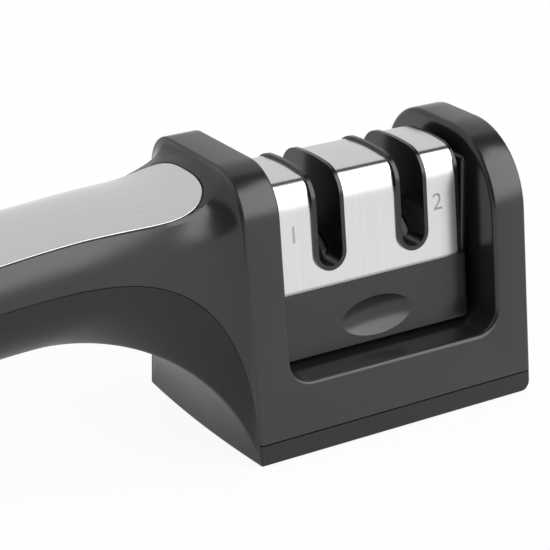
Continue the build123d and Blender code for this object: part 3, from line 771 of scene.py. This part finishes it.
def build_inlay():
    """Near half of the plate: crowned sheet with a rolled edge."""
    net = Net()
    loop = inlay_loop(0.0)
    last = len(loop) - 1
    lines = []
    for index, (u, reach) in enumerate(loop):
        edge, out = body_point(u, reach), body_normal(u, reach)
        # Direction across the outline, away from the plate
        if index in (0, last):
            side = Vector((1 if index == 0 else -1, 0, 0))
        else:
            tangent = body_point(*loop[index + 1]) - body_point(*loop[index - 1])
            tangent.normalize()
            side = tangent.cross(out)
            side.normalize()
            if side.y > 0:
                side = -side
        # From the middle out to the outline, then over the edge
        shares = [k / 16 for k in range(16)] + [1 - min(0.45 / (16 * u + 0.01), 0.05), 1.0]
        line = []
        for v in [u * share for share in shares]:
            line.append(body_point(v, reach) + body_normal(v, reach) * PLATE_RISE)
        line[-1] = line[-1] - side * PLATE_EDGE
        for k in range(1, 5):
            a = pi / 2 * k / 4
            rise = PLATE_RISE - PLATE_EDGE * (1 - cos(a))
            line.append(edge + out * rise - side * (PLATE_EDGE * (1 - sin(a))))
        line.append(edge - out * PLATE_THICK)
        lines.append(line)
    net.grid(lines)
    return net


inlay_net = both_sides(build_inlay)
inlay = make_piece("handle_plate", inlay_net.points, inlay_net.faces)
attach(inlay, "frame")
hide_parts("handle_inlay")


def brushed_steel(name, low, high, roughness, stretch_mm):
    """Stainless steel, brushed in one direction: fine streaks in tone and gloss."""
    material, tree, shader, place = start_material(name)
    scaled = add_node(tree, "ShaderNodeMapping", {
        "Vector": place, "Scale": tuple(1000 / value for value in stretch_mm)})
    streaks = add_node(tree, "ShaderNodeTexNoise", {
        "Vector": scaled.outputs["Vector"], "Scale": 1.0, "Detail": 4.0, "Roughness": 0.6})
    clouds = add_node(tree, "ShaderNodeTexNoise", {"Vector": place, "Scale": 1000 / 30})
    colour = add_node(tree, "ShaderNodeMix", {
        "Factor": streaks.outputs["Fac"], "A": linear(low), "B": linear(high)}, data_type="RGBA")
    gloss = add_node(tree, "ShaderNodeMapRange", {
        "Value": clouds.outputs["Fac"], "From Min": 0.3, "From Max": 0.7,
        "To Min": roughness - 0.02, "To Max": roughness + 0.02})
    bump = add_node(tree, "ShaderNodeBump", {
        "Height": streaks.outputs["Fac"], "Strength": 0.3, "Distance": 0.000004})
    # Brush lines spread a reflection across themselves
    along = add_node(tree, "ShaderNodeTangent", direction_type="RADIAL", axis="X")
    plug(shader, {
        "Base Color": colour.outputs["Result"], "Roughness": gloss.outputs["Result"],
        "Normal": bump.outputs["Normal"], "Metallic": 1.0, "Tangent": along.outputs["Tangent"],
        "Anisotropic": 0.6 if stretch_mm[1] > stretch_mm[0] else 0.0,
        "Anisotropic Rotation": 0.25})
    return material


# Satin stainless steel, brushed along the handle: soft bright reflections with faint long
# streaks. Real brush lines are under 0.1 mm wide, drawn 0.5 mm wide so that they show.
inlay_steel = brushed_steel("satin_steel_brushed_along", "#cfcecd", "#d9d8d7", 0.26, (60, 0.5, 0.5))
dress(inlay, inlay_steel)

# ---------------------------------------------------------------------------
# Guides in the frame: two ribs with a narrow tongue each, that the cartridge slides on, and the
# low step that it stands on. All are moulded in one with the upper casing.


def soft_box(bm, low, high, radius):
    """Box with rounded edges, its corners in mm."""
    made = bmesh.ops.create_cube(bm, size=1.0)["verts"]
    low, high = Vector(low) / 1000, Vector(high) / 1000
    for vert in made:
        vert.co = Vector([low[k] + (high[k] - low[k]) * (vert.co[k] + 0.5) for k in range(3)])
    edges = list({edge for vert in made for edge in vert.link_edges})
    bmesh.ops.bevel(bm, geom=edges, offset=radius / 1000, segments=3, affect="EDGES", profile=0.5)


bm = bmesh.new()
soft_box(bm, (-30.6, -12, 18.0), (-27.6, 12, 61.0), 1.0)
soft_box(bm, (-28.4, -2, 18.0), (-26.4, 2, 60.6), 0.4)
soft_box(bm, (29.2, -12, 18.0), (31.6, 12, 61.0), 1.0)
soft_box(bm, (28.0, -2, 18.0), (30.0, 2, 60.6), 0.4)
soft_box(bm, (-21.2, -11, 17.5), (22.8, 11, 20.3), 0.4)
guides = smooth_piece("cartridge_guides", bm)
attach(guides, "frame")
dress(guides, satin_abs)

# ---------------------------------------------------------------------------
# Cover of the cartridge: 0.8 mm stainless steel sheet, cut out for the two slots and folded down
# at the front and the back, over the black housing.

COVER_LEFT, COVER_RIGHT = -24.8, 26.4
COVER_HALF, COVER_FOOT = 15.0, 37.0  # half depth at its foot, and the foot's height
COVER_STRAIGHT = 54.86  # height up to which its faces are straight
# Above that, arcs over angles from the level: first and last angle, radius, centre and steps
COVER_ARCS = [
    (84.8, 70.0, 25.0, -11.522, 52.590, 12),
    (70.0, 7.39, 5.0, 7.272, 59.430, 16),
    (7.39, 0.0, 61.5, 0.0, 3.4, 6),
]
SLOT_CENTRES = (-11.35, 12.95)
CUT_HALF, CUT_FLOOR = 4.15, 45.1  # half width of a slot's cut-out, and height of its round end
SHEET = 0.8


def cover_y(z):
    return COVER_HALF - SLOPE * (z - COVER_FOOT)


def cover_places():
    """Near half of the cover's side view from its foot to the middle of its top, as y, z and the
    direction that the sheet faces: straight, slightly bowed, folded, and crowned."""
    places = []
    for k in range(17):
        z = COVER_FOOT + (COVER_STRAIGHT - COVER_FOOT) * k / 16
        places.append((cover_y(z), z, FACE_WAY))
    for first, last, radius, y, z, steps in COVER_ARCS:
        for k in range(1, steps + 1):
            angle = radians(first + (last - first) * k / steps)
            way = Vector((0, -sin(angle), cos(angle)))
            places.append((y + radius * sin(angle), z + radius * cos(angle), way))
    return places


def cut_height(x):
    """Height of the cut-out's edge at x, and between the slots the height of its straight part."""
    for centre in SLOT_CENTRES:
        if abs(x - centre) <= CUT_HALF + 1e-9:
            return CUT_FLOOR - sqrt(max(CUT_HALF ** 2 - (x - centre) ** 2, 0.0))
    return CUT_FLOOR


def both_skins(x, places):
    """A line of places on the sheet's outer face, and the same line on its inner face."""
    outer = [Vector((x, -y, z)) for y, z, way in places]
    return [outer, [p - way * SHEET for p, (_, _, way) in zip(outer, places)]]


def build_cover():
    """Near half of the cover: skin round the two cut-outs, and the sheet's cut edges."""
    net = Net()
    slots = []
    for centre in SLOT_CENTRES:
        slots.append([centre - CUT_HALF * cos(pi * k / 20) for k in range(21)])
    xs = [COVER_LEFT] + slots[0] + slots[1] + [COVER_RIGHT]
    # Front under and beside the slots, up to the height where the slots run straight
    low_lines = []
    for x in xs:
        heights = [COVER_FOOT + (cut_height(x) - COVER_FOOT) * k / 12 for k in range(13)]
        low_lines.append([(cover_y(z), z, FACE_WAY) for z in heights])
    net.grid([both_skins(x, line)[0] for x, line in zip(xs, low_lines)], flip=True)
    above = [(cover_y(CUT_FLOOR), CUT_FLOOR, FACE_WAY)]
    above += [place for place in cover_places() if place[1] > CUT_FLOOR + 0.2]
    spans = ((xs[0], slots[0][0]), (slots[0][-1], slots[1][0]), (slots[1][-1], xs[-1]))
    for first_x, last_x in spans:
        steps = [first_x + (last_x - first_x) * k / 6 for k in range(7)]
        net.grid([both_skins(x, above)[0] for x in steps], flip=True)
        net.grid(both_skins(first_x, above))
        net.grid(both_skins(last_x, above), flip=True)
    # Sheet's thickness round the slots' ends, at the foot and at the two ends
    inward = FACE_WAY * SHEET
    for slot in slots:
        edge = [Vector((x, -cover_y(cut_height(x)), cut_height(x))) for x in slot]
        net.grid([edge, [p - inward for p in edge]])
    foot = [Vector((x, -COVER_HALF, COVER_FOOT)) for x in xs]
    net.grid([foot, [p - inward for p in foot]], flip=True)
    net.grid(both_skins(xs[0], low_lines[0]))
    net.grid(both_skins(xs[-1], low_lines[-1]), flip=True)
    return net


cover_net = both_sides(build_cover)
cover = make_piece("folded_steel_cover", cover_net.points, cover_net.faces)
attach(cover, "cartridge")
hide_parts("steel_cover")
# The same steel, brushed from front to back before it was folded
cover_steel = brushed_steel("satin_steel_brushed_across", "#d6d5d5", "#dfdede", 0.19, (0.5, 40, 40))
dress(cover, cover_steel)

# Stage numbers, etched beside the slots: a shallow mark with a matt floor
etched_steel, tree, shader, place = start_material("etched_steel")
speckle = add_node(tree, "ShaderNodeTexNoise", {
    "Vector": place, "Scale": 1000 / 0.6, "Detail": 2.0})
tone = add_node(tree, "ShaderNodeMix", {
    "Factor": speckle.outputs["Fac"], "A": linear("#8e8c8b"), "B": linear("#b2b0af")},
    data_type="RGBA")
plug(shader, {"Base Color": tone.outputs["Result"], "Metallic": 1.0, "Roughness": 0.55})
for digit, x, z in (("1", -21.1, 51.2), ("2", 20.9, 51.2)):
    type_curve = bpy.data.curves.new("stage_type_" + digit, "FONT")
    type_curve.body = digit
    type_curve.size = 0.0062
    type_curve.align_x = "CENTER"
    type_curve.align_y = "CENTER"
    type_curve.extrude = 0.00002
    type_piece = link_piece("stage_type_" + digit, type_curve)
    bpy.context.view_layer.update()
    ready = type_piece.evaluated_get(bpy.context.evaluated_depsgraph_get())
    mark_mesh = bpy.data.meshes.new_from_object(ready)
    bpy.data.objects.remove(type_piece)
    bpy.data.curves.remove(type_curve)
    rise = Vector((0, sin(LEAN), cos(LEAN)))
    middle = Vector((x, -cover_y(z), z)) / 1000
    for vert in mark_mesh.vertices:
        vert.co = middle + Vector((vert.co.x, 0, 0)) + rise * vert.co.y + FACE_WAY * vert.co.z
    mark = link_piece("stage_number_" + digit, mark_mesh)
    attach(mark, "cartridge")
    dress(mark, etched_steel)

# ---------------------------------------------------------------------------
# Black parts of the cartridge: housing with a thin cheek at each end, lips round the slots, and
# the base with its thumb dimples. All are moulded ABS, snapped and screwed together.

# Semi gloss ABS on the housing and the lips, deep black with narrow highlights; the base is satin
gloss_abs = moulded_plastic("semi_gloss_black_abs", "#101011", "#141415", 0.2, 0.6, 0.002)
base_abs = moulded_plastic("satin_black_abs_base", "#1a1a1a", "#1e1e1e", 0.25, 0.5, 0.003)
for name in ("cartridge_housing", "coarse_slot_guide", "fine_slot_guide", "cartridge_base"):
    piece = nodes[name]
    soft = piece.modifiers.new("moulded_edges", "BEVEL")
    soft.width = 0.00018
    soft.segments = 2
    soft.limit_method = "ANGLE"
    soft.angle_limit = radians(40)
    dress(piece, base_abs if name == "cartridge_base" else gloss_abs)

# ---------------------------------------------------------------------------
# Wheels that form the V under each slot, turned steel discs bonded with diamond grit for the
# coarse stage and sintered ceramic for the fine stage, fixed on ground steel axles.

grit, tree, shader, place = start_material("diamond_grit_on_nickel")
# Grit of 0.1 mm, drawn at 0.4 mm: dark nickel with bright sparkling grains
grains = add_node(tree, "ShaderNodeTexVoronoi", {"Vector": place, "Scale": 1000 / 0.4})
tone = add_node(tree, "ShaderNodeMix", {
    "Factor": grains.outputs["Distance"], "A": linear("#8f8f8c"), "B": linear("#4a4a49")},
    data_type="RGBA")
bump = add_node(tree, "ShaderNodeBump", {
    "Height": grains.outputs["Distance"], "Strength": 0.8, "Distance": 0.00006})
plug(shader, {
    "Base Color": tone.outputs["Result"], "Normal": bump.outputs["Normal"],
    "Metallic": 0.8, "Roughness": 0.45})

ceramic, tree, shader, place = start_material("sintered_ceramic")
# Unglazed alumina ceramic: cream white, chalky, with a faint tone of its grains
grains = add_node(tree, "ShaderNodeTexNoise", {"Vector": place, "Scale": 1000 / 0.5, "Detail": 3.0})
tone = add_node(tree, "ShaderNodeMix", {
    "Factor": grains.outputs["Fac"], "A": linear("#84817b"), "B": linear("#96938c")},
    data_type="RGBA")
bump = add_node(tree, "ShaderNodeBump", {
    "Height": grains.outputs["Fac"], "Strength": 0.4, "Distance": 0.00002})
plug(shader, {
    "Base Color": tone.outputs["Result"], "Normal": bump.outputs["Normal"],
    "Roughness": 0.7, "IOR": 1.7})

ground_steel = brushed_steel("ground_steel_pin", "#bdbcbb", "#c9c8c7", 0.25, (0.6, 8, 8))
zinc_steel = brushed_steel("zinc_plated_steel", "#a9adb0", "#bfc2c4", 0.35, (0.7, 0.7, 0.7))
# Natural nylon: milky, slightly waxy
nylon = moulded_plastic("natural_nylon", "#d8d5cb", "#e0ddd4", 0.42, 0.6, 0.003)

# ---------------------------------------------------------------------------
# Rubber pad, cut from a ribbed sheet and glued into the underside's recess, and the finishes of
# the pad and every small part inside and below.

rubber, tree, shader, place = start_material("ribbed_pad_rubber")
# Nitrile rubber: dull black with moulded ribs, 2.4 mm apart, that grip the worktop
apart = add_node(tree, "ShaderNodeSeparateXYZ", {"Vector": place})
turns = add_node(tree, "ShaderNodeMath", {
    0: apart.outputs["X"], 1: 2 * pi * 1000 / 2.4}, operation="MULTIPLY")
wave = add_node(tree, "ShaderNodeMath", {0: turns.outputs["Value"]}, operation="SINE")
dust = add_node(tree, "ShaderNodeTexNoise", {"Vector": place, "Scale": 1000 / 4, "Detail": 4.0})
tone = add_node(tree, "ShaderNodeMix", {
    "Factor": dust.outputs["Fac"], "A": linear("#191919"), "B": linear("#262524")},
    data_type="RGBA")
bump = add_node(tree, "ShaderNodeBump", {
    "Height": wave.outputs["Value"], "Strength": 0.7, "Distance": 0.0002})
plug(shader, {
    "Base Color": tone.outputs["Result"], "Normal": bump.outputs["Normal"],
    "Roughness": 0.75, "IOR": 1.52})

finishes = {
    "base_pad": rubber, "base_screws": zinc_steel, "handle_screws": zinc_steel,
    "cartridge_screws": zinc_steel, "coarse_axle": ground_steel, "fine_axle": ground_steel,
    "coarse_spacers": nylon, "fine_spacers": nylon,
    "coarse_wheel_left": grit, "coarse_wheel_right": grit,
    "fine_wheel_left": ceramic, "fine_wheel_right": ceramic,
}
for name, finish in finishes.items():
    dress(nodes[name], finish)

# ---------------------------------------------------------------------------
# Studio: a white table that runs out to a white room, one large soft box in front and to the
# right, and a pale wall behind. The gap between them gives the dark line along every shoulder.

WALL_WAY = (-0.375, 0.927, 0.0)
BOX_WAY = (0.616, -0.788, 0.0)

scene = bpy.context.scene
world = bpy.data.worlds.new("studio")
scene.world = world
world.use_nodes = True
tree = world.node_tree
tree.nodes.clear()
sky = add_node(tree, "ShaderNodeTexCoord")
facing = add_node(tree, "ShaderNodeVectorMath", {
    0: sky.outputs["Generated"], 1: WALL_WAY}, operation="DOT_PRODUCT")
wall = add_node(tree, "ShaderNodeMapRange", {
    "Value": facing.outputs["Value"], "From Min": -0.04, "From Max": 0.06,
    "To Min": 0.12, "To Max": 1.0})
apart = add_node(tree, "ShaderNodeSeparateXYZ", {"Vector": sky.outputs["Generated"]})
# Soft box: full brightness high up, fading to the table's own white at the horizon
fade = add_node(tree, "ShaderNodeMapRange", {
    "Value": apart.outputs["Z"], "From Min": -0.05, "From Max": 0.26, "To Min": 0.9, "To Max": 4.4},
    interpolation_type="SMOOTHSTEP")
crown = add_node(tree, "ShaderNodeMapRange", {
    "Value": apart.outputs["Z"], "From Min": 0.82, "From Max": 0.86, "To Min": 1.0, "To Max": 0.0})
# Its sides stand upright: the direction over the ground alone decides
square = add_node(tree, "ShaderNodeMath", {0: apart.outputs["Z"], 1: 2.0}, operation="POWER")
flat_square = add_node(tree, "ShaderNodeMath", {
    0: 1.0001, 1: square.outputs["Value"]}, operation="SUBTRACT")
flat = add_node(tree, "ShaderNodeMath", {0: flat_square.outputs["Value"]}, operation="SQRT")
toward = add_node(tree, "ShaderNodeVectorMath", {
    0: sky.outputs["Generated"], 1: BOX_WAY}, operation="DOT_PRODUCT")
level = add_node(tree, "ShaderNodeMath", {
    0: toward.outputs["Value"], 1: flat.outputs["Value"]}, operation="DIVIDE")
sides = add_node(tree, "ShaderNodeMapRange", {
    "Value": level.outputs["Value"], "From Min": 0.70, "From Max": 0.80,
    "To Min": 0.0, "To Max": 1.0})
column_light = add_node(tree, "ShaderNodeMath", {
    0: fade.outputs["Result"], 1: crown.outputs["Result"]}, operation="MULTIPLY")
box = add_node(tree, "ShaderNodeMath", {
    0: column_light.outputs["Value"], 1: sides.outputs["Result"]}, operation="MULTIPLY")
total = add_node(tree, "ShaderNodeMath", {
    0: box.outputs["Value"], 1: wall.outputs["Result"]}, operation="ADD")
wall_light = add_node(tree, "ShaderNodeBackground", {"Strength": total.outputs["Value"]})
white = add_node(tree, "ShaderNodeBackground", {"Strength": 1.0})
path = add_node(tree, "ShaderNodeLightPath")
room = add_node(tree, "ShaderNodeMixShader", {
    0: path.outputs["Is Camera Ray"], 1: wall_light.outputs["Background"],
    2: white.outputs["Background"]})
add_node(tree, "ShaderNodeOutputWorld", {"Surface": room.outputs["Shader"]})

floor_mesh = bpy.data.meshes.new("table")
bm = bmesh.new()
bmesh.ops.create_grid(bm, x_segments=24, y_segments=24, size=3.0)
bm.to_mesh(floor_mesh)
bm.free()
floor_piece = link_piece("table", floor_mesh)
table_white, tree, shader, place = start_material("white_table_laminate")
# Laminate: even white with a barely visible cloud; seen directly it is the white of the room,
# with a part of the shadow kept
cloud = add_node(tree, "ShaderNodeTexNoise", {"Vector": place, "Scale": 12.0})
tone = add_node(tree, "ShaderNodeMix", {
    "Factor": cloud.outputs["Fac"], "A": linear("#f2f2f2"), "B": linear("#f6f6f6")},
    data_type="RGBA")
plug(shader, {"Base Color": tone.outputs["Result"], "Roughness": 0.6})
path = add_node(tree, "ShaderNodeLightPath")
mirrored = add_node(tree, "ShaderNodeMath", {
    0: path.outputs["Is Camera Ray"], 1: path.outputs["Is Glossy Ray"]}, operation="MAXIMUM")
seen = add_node(tree, "ShaderNodeMath", {
    0: mirrored.outputs["Value"], 1: path.outputs["Is Transmission Ray"]}, operation="MAXIMUM")
share = add_node(tree, "ShaderNodeMath", {0: seen.outputs["Value"], 1: 0.93}, operation="MULTIPLY")
glow = add_node(tree, "ShaderNodeEmission", {"Strength": 1.0})
both = add_node(tree, "ShaderNodeMixShader", {
    0: share.outputs["Value"], 1: shader.outputs["BSDF"], 2: glow.outputs["Emission"]})
plug(tree.nodes["Material Output"], {"Surface": both.outputs["Shader"]})
dress(floor_piece, table_white)

# Overhead lamp: a wide, weak fill, so that the deep gaps don't go black
fill = bpy.data.lights.new("overhead_fill", "AREA")
fill.shape = "DISK"
fill.size = 0.9
fill.energy = 1.5
fill_lamp = bpy.data.objects.new("overhead_fill", fill)
fill_place = Vector((0.1, -0.15, 1.2))
fill_lamp.location = fill_place
fill_lamp.rotation_euler = fill_place.to_track_quat("Z", "Y").to_euler()
fill_lamp.visible_glossy = False
scene.collection.objects.link(fill_lamp)

# Camera fitted to the frame's straight edges. Its focal length is in pixels of a picture 550 wide
FOCAL, PICTURE_WIDE = 2044.16, 550

camera_data = bpy.data.cameras.new("camera")
camera_data.sensor_width = 36.0
camera_data.lens = FOCAL / PICTURE_WIDE * 36
camera = bpy.data.objects.new("camera", camera_data)
turn, tilt, roll = radians(30.30), radians(22.15), radians(-1.24)
ahead = Vector((sin(turn) * cos(tilt), cos(turn) * cos(tilt), -sin(tilt)))
right = Vector((cos(turn), -sin(turn), 0))
up = right.cross(ahead)
right_rolled = right * cos(roll) + up * sin(roll)
up_rolled = up * cos(roll) - right * sin(roll)
matrix = Matrix((right_rolled, up_rolled, -ahead)).transposed().to_4x4()
matrix.translation = Vector((-0.25666, -0.40749, 0.22793))
camera.matrix_world = matrix
scene.collection.objects.link(camera)
scene.camera = camera
scene.view_settings.view_transform = "Standard"
